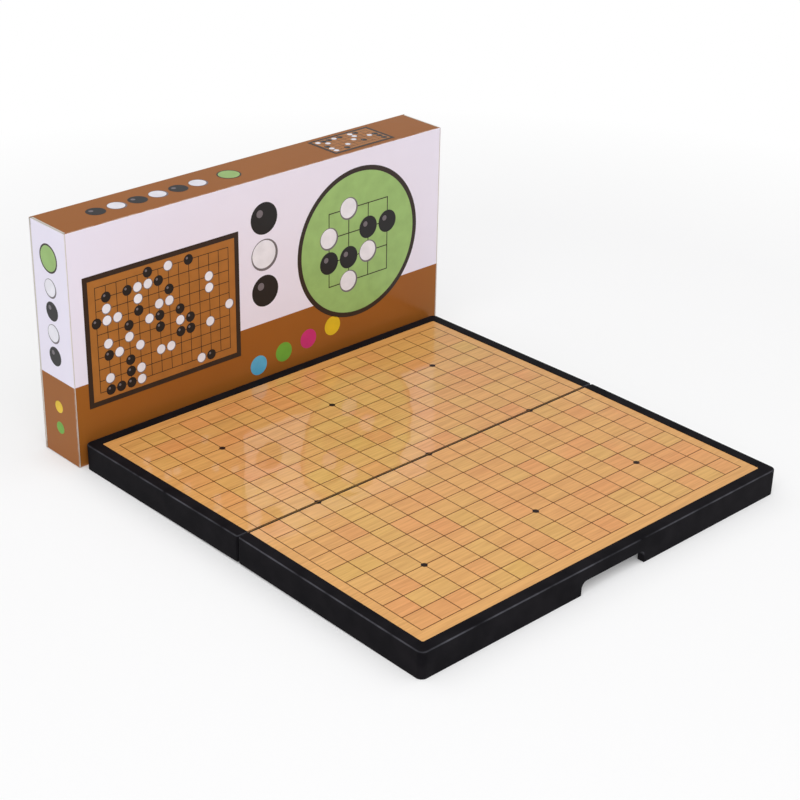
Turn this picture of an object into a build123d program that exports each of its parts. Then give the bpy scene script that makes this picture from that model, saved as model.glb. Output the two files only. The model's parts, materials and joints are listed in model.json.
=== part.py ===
"""Folding magnetic go board in two black trays, with the carton it is kept in.

The board lies open and face up. X runs along the fold, +Y runs from the fold to the carton
and +Z is up. The origin is on the table, under the middle of the board and carton together.
Each half of the board is modelled level in a frame of its own: the hinge axis is local X, the
half reaches from the fold towards local +Y, and its rim faces local -Z. All lengths are in
millimetres and all angles in degrees.
"""

import math
import os

from build123d import *

# Playing grid
grid_lines = 19
pitch_x = 18.4
pitch_y = 18.5
margin_x = 8.7
margin_y = 10.3

# Tray of each half
rim_width = 9.7
tray_height = 21.0
wall = 2.4
deck = 1.8
corner_radius = 5.0
seam_corner_radius = 1.8
edge_radius = 1.0
seam_clearance = 0.2
rim_clearance = 0.1
rim_lip = 0.3
rib_thickness = 1.2
rib_height = 3.0
ribs_across = 5
ribs_along = 2

# Steel sheet and printed film in the recess of each deck
steel_thickness = 0.5
film_thickness = 0.35
sheet_clearance = 0.15
sheet_corner_radius = 1.5

# Finger notch in the free edge
notch_width = 66.0
notch_height = 10.5
notch_radius = 5.0
flange_depth = 6.0
flange_thickness = 1.8

# Knuckle hinge at the fold
barrel_radius = 1.7
pin_radius = 0.75
pin_clearance = 0.05
knuckle_length = 12.0
knuckle_gap = 0.3
knuckles = 5
hinge_inset = 2.0
pocket_clearance = 0.25

# Closure magnets in bosses at the free edge
magnet_radius = 4.0
magnet_thickness = 3.0
magnet_clearance = 0.05
magnet_spacing = 240.0
boss_wall = 2.0

# Bag of stones in the hollow of each half
bag_length = 160.0
bag_width = 100.0
bag_radius = 14.0
bag_edge = 4.0
bag_clearance = 0.3
bag_floor_clearance = 0.5
bag_centre_y = 88.0

# Carton
card = 1.0
crease_gap = 0.1
flap_gap = 0.15
panel_gap = 0.2
end_room = 2.35
side_room = 0.8
top_room = 1.8
board_to_carton = 2.0
carton_corner_radius = 0.8
glue_flap_width = 12.0
tongue_length = 15.0
tongue_inset = 5.0
tongue_radius = 9.0
dust_flap_length = 23.0
dust_flap_taper = 10.0
end_flap_trim = 0.5

# Sizes of one half that follow from the grid
half_width = (grid_lines - 1) / 2 * pitch_x + margin_x + rim_width
half_depth = (grid_lines - 1) / 2 * pitch_y + margin_y + rim_width
sheet_half_width = half_width - rim_width
sheet_depth = half_depth - rim_width
recess_depth = steel_thickness + film_thickness + rim_lip
tray_top = rim_clearance + tray_height
recess_floor = tray_top - recess_depth
ceiling = recess_floor - deck
rib_bottom = ceiling - rib_height
boss_radius = magnet_radius + boss_wall
boss_y = half_depth - wall - boss_radius
hinge_length = knuckles * knuckle_length + (knuckles - 1) * knuckle_gap
hinge_x = half_width - hinge_inset - hinge_length / 2
hinge_centres = [-hinge_x, 0, hinge_x]
hinge_places = [(centre, 0, 0) for centre in hinge_centres]
along_fold = (0, 90, 0)

# The open board stands on its hinge barrels and its free edges, so each half leans a little
lean = math.degrees(math.asin((barrel_radius + rim_clearance) / half_depth))
lean_sine = math.sin(math.radians(lean))
lean_cosine = math.cos(math.radians(lean))
board_reach = half_depth * lean_cosine + (tray_height - edge_radius) * lean_sine

# The carton holds the folded board, hinge up, and stands behind the open one
end_stack = 2 * card + flap_gap + end_room
carton_half_length = half_width + end_stack
carton_depth = 3 * card + 2 * (tray_height + rim_clearance) + side_room
carton_height = half_depth + barrel_radius + 2 * card + top_room
fold_y = -(board_to_carton + carton_depth) / 2
carton_front = fold_y + board_reach + board_to_carton
carton_back = carton_front + carton_depth
tongue_y = carton_back - card - panel_gap
dust_plane = carton_half_length - card - flap_gap

# Each half is placed by the plane that carries its own frame
rear_place = Plane(
    origin=(0, fold_y, barrel_radius), x_dir=(1, 0, 0), z_dir=(0, lean_sine, lean_cosine)
)
front_place = Plane(
    origin=(0, fold_y, barrel_radius), x_dir=(-1, 0, 0), z_dir=(0, -lean_sine, lean_cosine)
)

# Which knuckles of each hinge belong to which tray
front_knuckles = list(range(0, knuckles, 2))
rear_knuckles = list(range(1, knuckles, 2))


def knuckle_places(indices):
    """Give the middle of each knuckle with one of these places in its hinge, for all hinges."""
    step = knuckle_length + knuckle_gap
    offsets = [(index - (knuckles - 1) / 2) * step for index in indices]
    return [(centre + offset, 0, 0) for centre in hinge_centres for offset in offsets]


def cross_plane(x):
    """Give the plane across the fold at x, with its normal along it."""
    return Plane(origin=(x, 0, 0), x_dir=(0, 1, 0), z_dir=(1, 0, 0))


def make_tray(own_knuckles, other_knuckles):
    """Model a tray: shell, ribs, magnet bosses, notch with its flange, and hinge knuckles."""
    with BuildPart() as tray:
        # Outer block with rounded corners and a rounded top edge
        with BuildSketch(Plane.XY.offset(rim_clearance)) as outline:
            with Locations((0, (seam_clearance + half_depth) / 2)):
                Rectangle(2 * half_width, half_depth - seam_clearance)
            fillet(outline.vertices().group_by(Axis.Y)[-1], corner_radius)
            fillet(outline.vertices().group_by(Axis.Y)[0], seam_corner_radius)
        extrude(amount=tray_height)
        fillet(tray.faces().sort_by(Axis.Z)[-1].outer_wire().edges(), edge_radius)

        # Recess for the steel sheet and the film, open to the seam
        with BuildSketch(Plane.XY.offset(recess_floor)) as recess:
            with Locations((0, (sheet_depth + sheet_clearance) / 2)):
                Rectangle(2 * (sheet_half_width + sheet_clearance), sheet_depth + sheet_clearance)
            fillet(recess.vertices().group_by(Axis.Y)[-1], sheet_corner_radius)
        extrude(amount=recess_depth, mode=Mode.SUBTRACT)

        # Hollow, with the inside corners parallel to the outside ones
        with BuildSketch(Plane.XY.offset(rim_clearance)) as hollow:
            with Locations((0, (seam_clearance + half_depth) / 2)):
                Rectangle(2 * (half_width - wall), half_depth - seam_clearance - 2 * wall)
            fillet(hollow.vertices(), corner_radius - wall)
        extrude(amount=ceiling - rim_clearance, mode=Mode.SUBTRACT)

        # Ribs under the deck, both ways
        with BuildSketch(Plane.XY.offset(rib_bottom)):
            with Locations((0, (seam_clearance + half_depth) / 2)):
                with GridLocations(2 * half_width / (ribs_across + 1), 0, ribs_across, 1):
                    Rectangle(rib_thickness, half_depth - seam_clearance - 2 * wall)
                with GridLocations(0, half_depth / (ribs_along + 1), 1, ribs_along):
                    Rectangle(2 * (half_width - wall), rib_thickness)
        extrude(amount=rib_height)

        # Bosses that run from the ceiling to the rim and hold the closure magnets
        with BuildSketch(Plane.XY.offset(rim_clearance)):
            with GridLocations(magnet_spacing, 0, 2, 1):
                with Locations((0, boss_y)):
                    Circle(boss_radius)
                with Locations((0, boss_y + boss_radius / 2)):
                    Rectangle(2 * boss_radius, boss_radius)
        extrude(amount=ceiling - rim_clearance)
        with BuildSketch(Plane.XY.offset(rim_clearance)):
            with Locations((0, boss_y)):
                with GridLocations(magnet_spacing, 0, 2, 1):
                    Circle(magnet_radius + magnet_clearance)
        extrude(amount=magnet_thickness + 2 * magnet_clearance, mode=Mode.SUBTRACT)

        # Finger notch through the free wall, with a flange turned in round it
        free_face = Plane(origin=(0, half_depth, rim_clearance), x_dir=(1, 0, 0), z_dir=(0, -1, 0))
        with BuildSketch(free_face.offset(wall / 2)) as flange:
            with Locations((0, (notch_height + flange_thickness) / 2)):
                Rectangle(notch_width + 2 * flange_thickness, notch_height + flange_thickness)
            fillet(flange.vertices().group_by(Axis.Y)[-1], notch_radius + flange_thickness)
        extrude(amount=flange_depth - wall / 2)
        with BuildSketch(free_face) as notch:
            with Locations((0, notch_height / 2)):
                Rectangle(notch_width, notch_height)
            fillet(notch.vertices().group_by(Axis.Y)[-1], notch_radius)
        extrude(amount=flange_depth, mode=Mode.SUBTRACT)

        # Room for the knuckles of the other tray, then this tray's own knuckles and pin bores
        with Locations(knuckle_places(other_knuckles)):
            Cylinder(
                barrel_radius + pocket_clearance,
                knuckle_length + 2 * knuckle_gap,
                rotation=along_fold,
                mode=Mode.SUBTRACT,
            )
        with Locations(knuckle_places(own_knuckles)):
            Cylinder(barrel_radius, knuckle_length, rotation=along_fold)
        with Locations(hinge_places):
            Cylinder(
                pin_radius + pin_clearance,
                hinge_length,
                rotation=along_fold,
                mode=Mode.SUBTRACT,
            )
    return tray


def make_sheet(bottom, thickness):
    """Model a sheet that fills the recess of a half, square at the seam."""
    with BuildPart() as sheet:
        with BuildSketch(Plane.XY.offset(bottom)) as outline:
            with Locations((0, (2 * seam_clearance + sheet_depth) / 2)):
                Rectangle(2 * sheet_half_width, sheet_depth - 2 * seam_clearance)
            fillet(outline.vertices().group_by(Axis.Y)[-1], sheet_corner_radius)
        extrude(amount=thickness)
    return sheet


def make_magnets():
    """Model the pair of closure magnets of a half, in the pockets of its bosses."""
    with BuildPart() as magnets:
        with BuildSketch(Plane.XY.offset(rim_clearance + magnet_clearance)):
            with Locations((0, boss_y)):
                with GridLocations(magnet_spacing, 0, 2, 1):
                    Circle(magnet_radius)
        extrude(amount=magnet_thickness)
    return magnets


def make_bag():
    """Model the outer form of a flat bag of stones under the ribs of a half."""
    bag_bottom = rim_clearance + bag_floor_clearance
    bag_top = rib_bottom - bag_clearance
    with BuildPart() as bag:
        with BuildSketch(Plane.XY.offset(bag_bottom)):
            with Locations((0, bag_centre_y)):
                RectangleRounded(bag_length, bag_width, bag_radius)
        extrude(amount=bag_top - bag_bottom)
        rim_edges = bag.faces().sort_by(Axis.Z)[0].edges() + bag.faces().sort_by(Axis.Z)[-1].edges()
        chamfer(rim_edges, bag_edge)
    return bag


def make_pins():
    """Model the steel pins, one through each hinge."""
    with BuildPart() as pins:
        with Locations(hinge_places):
            Cylinder(pin_radius, hinge_length, rotation=along_fold)
    return pins


def make_sleeve():
    """Model the carton's four panels and the glue flap inside its back lower corner."""
    middle_y = (carton_front + carton_back) / 2
    panel_half_length = carton_half_length - card - crease_gap
    side_half_length = dust_plane - card - crease_gap
    with BuildPart() as sleeve:
        # Four panels round the hollow, the back one as long as the closed carton
        with BuildSketch(cross_plane(-carton_half_length)):
            with Locations((middle_y, carton_height / 2)):
                RectangleRounded(carton_depth, carton_height, carton_corner_radius)
                Rectangle(carton_depth - 2 * card, carton_height - 2 * card, mode=Mode.SUBTRACT)
        extrude(amount=2 * carton_half_length)

        # The front panel ends at the creases of the end flaps
        for side in (-1, 1):
            with BuildSketch(cross_plane(side * panel_half_length)):
                with Locations((carton_front + card / 2, carton_height / 2)):
                    Rectangle(card, carton_height)
            extrude(amount=side * (carton_half_length - panel_half_length), mode=Mode.SUBTRACT)

        # The top and bottom panels end at the creases of the dust flaps
        for side in (-1, 1):
            with BuildSketch(cross_plane(side * side_half_length)):
                with Locations((middle_y, carton_height / 2)):
                    Rectangle(carton_depth - 2 * card, carton_height)
            extrude(amount=side * (carton_half_length - side_half_length), mode=Mode.SUBTRACT)

        # Glue flap on the inside of the bottom panel
        with BuildSketch(cross_plane(-side_half_length)):
            with Locations((carton_back - card - glue_flap_width / 2, 1.5 * card)):
                Rectangle(glue_flap_width, card)
        extrude(amount=2 * side_half_length)
    return sleeve


def make_end_flap():
    """Model the flap over the right end, on the crease at the front panel."""
    with BuildPart() as flap:
        width = tongue_y - card - crease_gap - carton_front
        with BuildSketch(cross_plane(carton_half_length - card)):
            with Locations((carton_front + width / 2, carton_height / 2)):
                Rectangle(width, carton_height - 2 * end_flap_trim)
        extrude(amount=card)
    return flap


def make_tongue():
    """Model the tongue that tucks in behind the back panel, bowed about the end flap's crease."""
    tongue_height = carton_height - 2 * card - 2 * tongue_inset
    bow_radius = tongue_y - carton_front
    bow_angle = math.degrees(tongue_length / bow_radius)
    with BuildPart() as tongue:
        with BuildSketch(cross_plane(carton_half_length)):
            with Locations((tongue_y - card / 2, carton_height / 2)):
                Rectangle(card, tongue_height)
        crease = Axis((carton_half_length, carton_front, 0), (0, 0, 1))
        revolve(axis=crease, revolution_arc=bow_angle)
        tip_corners = tongue.faces().sort_by(Axis.X)[0].edges().group_by(SortBy.LENGTH)[0]
        fillet(tip_corners, tongue_radius)
    return tongue


def make_dust_flap():
    """Model the upper dust flap of the right end, mitred at the front and tapered behind."""
    root_front = carton_front + card + panel_gap
    root_back = carton_back - card - panel_gap - card - panel_gap
    tip_z = carton_height - dust_flap_length
    with BuildPart() as flap:
        with BuildSketch(cross_plane(dust_plane - card)):
            with BuildLine():
                Polyline(
                    (root_front, carton_height),
                    (root_front + dust_flap_length, tip_z),
                    (root_back - dust_flap_taper, tip_z),
                    (root_back, carton_height),
                    close=True,
                )
            make_face()
        extrude(amount=card)
    return flap


def keep(solid, name):
    """Label a finished piece and write its file."""
    solid.label = name
    export_step(solid, f"parts/{name}.step")


def keep_half(side, place, bag_name, knuckle_lists):
    """Model the pieces of one half and write them in their place."""
    pieces = {
        f"{side}_tray": make_tray(*knuckle_lists),
        f"{side}_steel_sheet": make_sheet(recess_floor, steel_thickness),
        f"{side}_grid_print": make_sheet(recess_floor + steel_thickness, film_thickness),
        f"{side}_closure_magnets": make_magnets(),
        bag_name: make_bag(),
    }
    for name, piece in pieces.items():
        keep(piece.part.moved(place.location), name)


def keep_carton_ends():
    """Model the flaps of the right end and write them for both ends."""
    mid_height = Plane.XY.offset(carton_height / 2)
    end_flap = make_end_flap().part
    tongue = make_tongue().part
    upper_dust_flap = make_dust_flap().part
    lower_dust_flap = mirror(upper_dust_flap, about=mid_height)
    flaps = {
        "end_flap": end_flap,
        "tuck_tongue": tongue,
        "upper_dust_flap": upper_dust_flap,
        "lower_dust_flap": lower_dust_flap,
    }
    for name, flap in flaps.items():
        keep(flap, f"right_{name}")
        keep(mirror(flap, about=Plane.YZ), f"left_{name}")


os.makedirs("parts", exist_ok=True)
keep_half("front", front_place, "black_stone_bag", (front_knuckles, rear_knuckles))
keep_half("rear", rear_place, "white_stone_bag", (rear_knuckles, front_knuckles))
keep(make_pins().part.moved(front_place.location), "hinge_pins")
keep(make_sleeve().part, "carton_sleeve")
keep_carton_ends()
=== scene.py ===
"""Dress the open folding go board and the carton that stands behind it.

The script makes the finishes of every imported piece, the printed grid, the bags of stones in
the hollows and the printing on the carton. All lengths are in metres.
"""

import json
import logging
import math
import random
from dataclasses import dataclass, field
from enum import Enum

import bmesh
import bpy
from mathutils import Matrix, Vector


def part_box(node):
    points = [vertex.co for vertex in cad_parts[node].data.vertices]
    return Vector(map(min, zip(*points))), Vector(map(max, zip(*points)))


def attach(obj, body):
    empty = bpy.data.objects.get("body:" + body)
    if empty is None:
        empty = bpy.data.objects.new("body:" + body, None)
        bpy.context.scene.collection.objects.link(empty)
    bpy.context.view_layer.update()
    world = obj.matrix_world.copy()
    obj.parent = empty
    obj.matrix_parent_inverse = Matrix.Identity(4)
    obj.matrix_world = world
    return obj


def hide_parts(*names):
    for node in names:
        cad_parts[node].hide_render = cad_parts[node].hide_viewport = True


LOG = logging.getLogger("go_set")
CUT_TOLERANCE = 1e-6
MERGE_DISTANCE = 1e-5

# Places of the colour sockets of a Mix node, whose names aren't unique
MIX_FIRST, MIX_SECOND, MIX_RESULT = 6, 7, 2

Rgb = tuple[int, int, int]
Point2 = tuple[float, float]
Point3 = tuple[float, float, float]
Socket = bpy.types.NodeSocket

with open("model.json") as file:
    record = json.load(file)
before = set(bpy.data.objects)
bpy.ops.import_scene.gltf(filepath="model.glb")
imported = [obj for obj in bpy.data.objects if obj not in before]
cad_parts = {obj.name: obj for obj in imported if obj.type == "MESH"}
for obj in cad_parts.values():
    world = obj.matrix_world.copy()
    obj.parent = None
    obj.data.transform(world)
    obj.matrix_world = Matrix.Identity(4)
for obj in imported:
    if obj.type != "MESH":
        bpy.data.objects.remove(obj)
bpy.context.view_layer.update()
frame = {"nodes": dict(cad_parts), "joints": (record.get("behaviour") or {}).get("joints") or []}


class Side(Enum):
    """The two halves of the board."""

    FRONT = "front"
    REAR = "rear"


def fold_joint() -> dict:
    """Give the frame's entry for the joint at the fold."""
    return next(joint for joint in frame["joints"] if joint["name"] == "fold")


def half_lean() -> float:
    """Give the angle in radians by which each half leans away from the fold."""
    return math.radians(180.0 - fold_joint()["range_deg"][1]) / 2


def linear(colour: Rgb) -> tuple[float, float, float, float]:
    """Turn a screen colour into the linear colour that a shader socket takes.

    Args:
        colour: Red, green and blue, each from 0 to 255.

    Returns:
        Linear red, green and blue with an alpha of 1.
    """

    def channel(value: int) -> float:
        """Turn one channel into its linear value."""
        share = value / 255
        return share / 12.92 if share <= 0.04045 else ((share + 0.055) / 1.055) ** 2.4

    red, green, blue = colour
    return (channel(red), channel(green), channel(blue), 1.0)


class Shader:
    """A node material with one Principled shader, built step by step."""

    def __init__(self, name: str, roughness: float) -> None:
        """Start the material.

        Args:
            name: Name of the material.
            roughness: Roughness of its surface.
        """
        self.material = bpy.data.materials.new(name)
        self.material.use_nodes = True
        self.tree = self.material.node_tree
        self.surface = self.tree.nodes["Principled BSDF"]
        self.surface.inputs["Roughness"].default_value = roughness

    def node(self, kind: str, **settings: object) -> bpy.types.Node:
        """Add a node of a kind and set its properties.

        Args:
            kind: Type name of the node.
            **settings: Its properties, by name.

        Returns:
            The new node.
        """
        made = self.tree.nodes.new(kind)
        for key, value in settings.items():
            setattr(made, key, value)
        return made

    def feed(self, target: Socket, source: Socket | float) -> None:
        """Link a socket to another socket, or set it to a number.

        Args:
            target: Socket that takes the value.
            source: Socket or number that gives it.
        """
        if isinstance(source, (int, float)):
            target.default_value = source
        else:
            self.tree.links.new(source, target)

    def place(self, scale: Point3 = (1, 1, 1)) -> Socket:
        """Give the object coordinates, scaled along each axis.

        Args:
            scale: Scale along each axis.

        Returns:
            The scaled coordinates.
        """
        where = self.node("ShaderNodeTexCoord")
        mapping = self.node("ShaderNodeMapping")
        mapping.inputs["Scale"].default_value = scale
        self.feed(mapping.inputs["Vector"], where.outputs["Object"])
        return mapping.outputs["Vector"]

    def axes(self) -> tuple[Socket, Socket, Socket]:
        """Give the three object coordinates apart.

        Returns:
            The places along X, Y and Z.
        """
        split = self.node("ShaderNodeSeparateXYZ")
        self.feed(split.inputs[0], self.place())
        return split.outputs[0], split.outputs[1], split.outputs[2]

    def math(self, operation: str, first: Socket | float, second: Socket | float = 0.0) -> Socket:
        """Work out one operation on two values.

        Args:
            operation: Name of the operation.
            first: First value.
            second: Second value, which some operations leave aside.

        Returns:
            The result.
        """
        made = self.node("ShaderNodeMath", operation=operation)
        self.feed(made.inputs[0], first)
        self.feed(made.inputs[1], second)
        return made.outputs[0]

    def noise(self, place: Socket, scale: float, detail: float = 3.0) -> Socket:
        """Give a noise value from 0 to 1.

        Args:
            place: Coordinates of the noise.
            scale: Its scale.
            detail: Number of its finer layers.

        Returns:
            The noise.
        """
        made = self.node("ShaderNodeTexNoise")
        made.inputs["Scale"].default_value = scale
        made.inputs["Detail"].default_value = detail
        self.feed(made.inputs["Vector"], place)
        return made.outputs["Fac"]

    def ramp(self, value: Socket, stops: list[tuple[float, Rgb]]) -> Socket:
        """Turn a value into a colour along a row of stops.

        Args:
            value: Value from 0 to 1.
            stops: Position and colour of each stop.

        Returns:
            The colour.
        """
        made = self.node("ShaderNodeValToRGB")
        elements = made.color_ramp.elements
        while len(elements) < len(stops):
            elements.new(1.0)
        for element, (position, colour) in zip(elements, stops):
            element.position = position
            element.color = linear(colour)
        self.feed(made.inputs[0], value)
        return made.outputs["Color"]

    def blend(self, factor: Socket, first: Socket | Rgb, second: Socket | Rgb) -> Socket:
        """Mix two colours by a factor.

        Args:
            factor: Share of the second colour.
            first: First colour.
            second: Second colour.

        Returns:
            The mixed colour.
        """
        made = self.node("ShaderNodeMix", data_type="RGBA")
        self.feed(made.inputs["Factor"], factor)
        for place, colour in ((MIX_FIRST, first), (MIX_SECOND, second)):
            socket = made.inputs[place]
            if isinstance(colour, tuple):
                socket.default_value = linear(colour)
            else:
                self.feed(socket, colour)
        return made.outputs[MIX_RESULT]

    def remap(self, value: Socket, low: float, high: float) -> Socket:
        """Spread a value from 0 to 1 between two limits.

        Args:
            value: Value from 0 to 1.
            low: Limit for 0.
            high: Limit for 1.

        Returns:
            The spread value.
        """
        made = self.node("ShaderNodeMapRange")
        made.inputs["To Min"].default_value = low
        made.inputs["To Max"].default_value = high
        self.feed(made.inputs["Value"], value)
        return made.outputs[0]

    def bump(self, height: Socket, depth: float, target: str = "Normal") -> None:
        """Raise the surface or its coat.

        Args:
            height: Height from 0 to 1.
            depth: Depth in metres for a height of 1.
            target: Socket of the shader that takes the bump.
        """
        made = self.node("ShaderNodeBump")
        made.inputs["Strength"].default_value = 1.0
        made.inputs["Distance"].default_value = depth
        self.feed(made.inputs["Height"], height)
        self.feed(self.surface.inputs[target], made.outputs["Normal"])

    def colour(self, source: Socket | Rgb) -> None:
        """Set the surface's colour.

        Args:
            source: Colour, or the socket that gives it.
        """
        target = self.surface.inputs["Base Color"]
        if isinstance(source, tuple):
            target.default_value = linear(source)
        else:
            self.feed(target, source)

    def coat(self, weight: float, roughness: float) -> None:
        """Lay a clear gloss over the surface.

        Args:
            weight: Strength of the gloss.
            roughness: Its roughness.
        """
        self.surface.inputs["Coat Weight"].default_value = weight
        self.surface.inputs["Coat Roughness"].default_value = roughness


@dataclass(frozen=True)
class MouldedPlastic:
    """Fine-grained black plastic as it comes out of the mould, with a painted highlight on its rounded
    edges.
    """

    name: str
    colour: Rgb = (21, 20, 23)
    cloud_colour: Rgb = (29, 27, 30)
    # Colour of the painted highlight on the rounded edges
    edge_highlight_colour: Rgb = (84, 84, 90)
    roughness: float = 0.4
    specular: float = 0.015
    grain: float = 1500.0
    grain_depth: float = 0.00007
    cloud_scale: float = 60.0
    cloud_detail: float = 5.0
    cloud_range: Point2 = (0.35, 0.7)
    # Strength of the painted edge highlight, and the cloud range that breaks it up
    edge_highlight_gain: float = 2.0
    rub_range: Point2 = (-0.7, 1.9)
    smoother: float = 0.1
    rougher: float = 0.14

    def make(self) -> bpy.types.Material:
        """Build the material.

        Returns:
            The new material.
        """
        shader = Shader(self.name, self.roughness)
        shader.surface.inputs["Specular IOR Level"].default_value = self.specular
        place = shader.place()
        speckle = shader.noise(place, self.grain, 2.0)
        cloud = shader.noise(place, self.cloud_scale, self.cloud_detail)
        low, high = self.cloud_range
        shade = shader.ramp(cloud, [(low, self.colour), (high, self.cloud_colour)])
        # A rounded edge is where the surface faces neither along an axis nor across it
        where = shader.node("ShaderNodeTexCoord")
        split = shader.node("ShaderNodeSeparateXYZ")
        shader.feed(split.inputs[0], where.outputs["Normal"])
        rise = shader.math("ABSOLUTE", split.outputs[2])
        flat = shader.math("SQRT", shader.math("SUBTRACT", 1.0, shader.math("MULTIPLY", rise, rise)))
        edge = shader.math("MULTIPLY", rise, flat)
        highlight_strength = shader.remap(edge, 0.0, self.edge_highlight_gain)
        # Painted highlight along the rounded edges, broken up by the cloud
        rubbed = shader.math("MULTIPLY", highlight_strength, shader.remap(cloud, *self.rub_range))
        rubbed = shader.math("MAXIMUM", rubbed, 0.0)
        shader.colour(shader.blend(rubbed, shade, self.edge_highlight_colour))
        rough = shader.remap(speckle, self.roughness - self.smoother, self.roughness + self.rougher)
        shader.feed(shader.surface.inputs["Roughness"], rough)
        shader.bump(speckle, self.grain_depth)
        return shader.material


@dataclass(frozen=True)
class ParquetFilm:
    """Glossy film printed with bamboo parquet, one tone to a cell, with long strips round it."""

    name: str
    pitch_x: float
    pitch_y: float
    cells: int
    fold_y: float
    roughness: float = 0.34
    specular: float = 0.25
    fibre_density: Point3 = (30.0, 560.0, 1.0)
    strip_density: Point3 = (9.0, 150.0, 1.0)
    fibre_spread: float = 60.0
    wave_scale: float = 26.0
    wave_depth: float = 0.0004
    fibre_colour: Rgb = (172, 108, 46)
    cell_share: float = 0.75
    margin_tone: float = 0.5
    drift_scale: float = 9.0
    drift_range: Point2 = (-0.25, 0.5)
    fibre_range: Point2 = (-0.36, 0.6)
    strip_range: Point2 = (-0.2, 0.26)
    coat_weight: float = 1.0
    coat_roughness: float = 0.04
    tones: tuple[tuple[float, Rgb], ...] = (
        (0.0, (234, 185, 100)),
        (0.22, (237, 184, 106)),
        (0.45, (239, 180, 105)),
        (0.68, (240, 175, 105)),
        (0.86, (241, 168, 102)),
        (1.0, (243, 188, 115)),
    )

    def make(self) -> bpy.types.Material:
        """Build the material.

        Returns:
            The new material.
        """
        shader = Shader(self.name, self.roughness)
        shader.surface.inputs["Specular IOR Level"].default_value = self.specular
        x, y, _ = shader.axes()
        column = shader.math("DIVIDE", x, self.pitch_x)
        row = shader.math("DIVIDE", shader.math("SUBTRACT", y, self.fold_y), self.pitch_y)
        cell = shader.node("ShaderNodeCombineXYZ")
        shader.feed(cell.inputs[0], shader.math("FLOOR", column))
        shader.feed(cell.inputs[1], shader.math("FLOOR", row))
        reach = shader.math("MAXIMUM", shader.math("ABSOLUTE", column), shader.math("ABSOLUTE", row))
        inside = shader.math("LESS_THAN", reach, self.cells / 2)
        pick = shader.node("ShaderNodeTexWhiteNoise", noise_dimensions="2D")
        shader.feed(pick.inputs["Vector"], cell.outputs[0])
        drift = shader.remap(shader.noise(shader.place(), self.drift_scale, 1.0), *self.drift_range)
        own = shader.math("MULTIPLY", pick.outputs["Value"], self.cell_share)
        cell_tone = shader.math("MULTIPLY", shader.math("ADD", own, drift), inside)
        margin = shader.math("MULTIPLY", shader.math("SUBTRACT", 1.0, inside), self.margin_tone)
        wood = shader.ramp(shader.math("ADD", cell_tone, margin), list(self.tones))
        # Fibres run along the fold, and each cell has its own piece of them
        spread = shader.node("ShaderNodeVectorMath", operation="SCALE")
        shader.feed(spread.inputs["Scale"], shader.math("MULTIPLY", inside, self.fibre_spread))
        shader.feed(spread.inputs[0], pick.outputs["Color"])
        layers = []
        for density in (self.fibre_density, self.strip_density):
            shifted = shader.node("ShaderNodeVectorMath", operation="ADD")
            shader.feed(shifted.inputs[0], shader.place(density))
            shader.feed(shifted.inputs[1], spread.outputs[0])
            layers.append(shader.noise(shifted.outputs[0], 1.0, 4.0))
        fibre, strip = layers
        thin = shader.remap(fibre, *self.fibre_range)
        shade = shader.math("ADD", thin, shader.remap(strip, *self.strip_range))
        shader.colour(shader.blend(shade, wood, self.fibre_colour))
        shader.coat(self.coat_weight, self.coat_roughness)
        shader.bump(shader.noise(shader.place(), self.wave_scale, 2.0), self.wave_depth, "Coat Normal")
        return shader.material


@dataclass(frozen=True)
class Ink:
    """Flat printing ink, matte or glossy."""

    name: str
    colour: Rgb
    roughness: float = 0.28
    mottle: float = 0.06
    specular: float = 0.25
    cloud_scale: float = 90.0
    cloud_range: Point2 = (0.3, 0.7)

    def make(self) -> bpy.types.Material:
        """Build the material.

        Returns:
            The new material.
        """
        shader = Shader(self.name, self.roughness)
        shader.surface.inputs["Specular IOR Level"].default_value = self.specular
        red, green, blue = self.colour
        keep = 1.0 - self.mottle
        deeper = (int(red * keep), int(green * keep), int(blue * keep))
        cloud = shader.noise(shader.place(), self.cloud_scale, 3.0)
        low, high = self.cloud_range
        shader.colour(shader.ramp(cloud, [(low, self.colour), (high, deeper)]))
        return shader.material


class CardFace(Enum):
    """Which side of a carton piece carries the print."""

    SLEEVE = "sleeve"
    END = "end"
    INSIDE = "inside"


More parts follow.
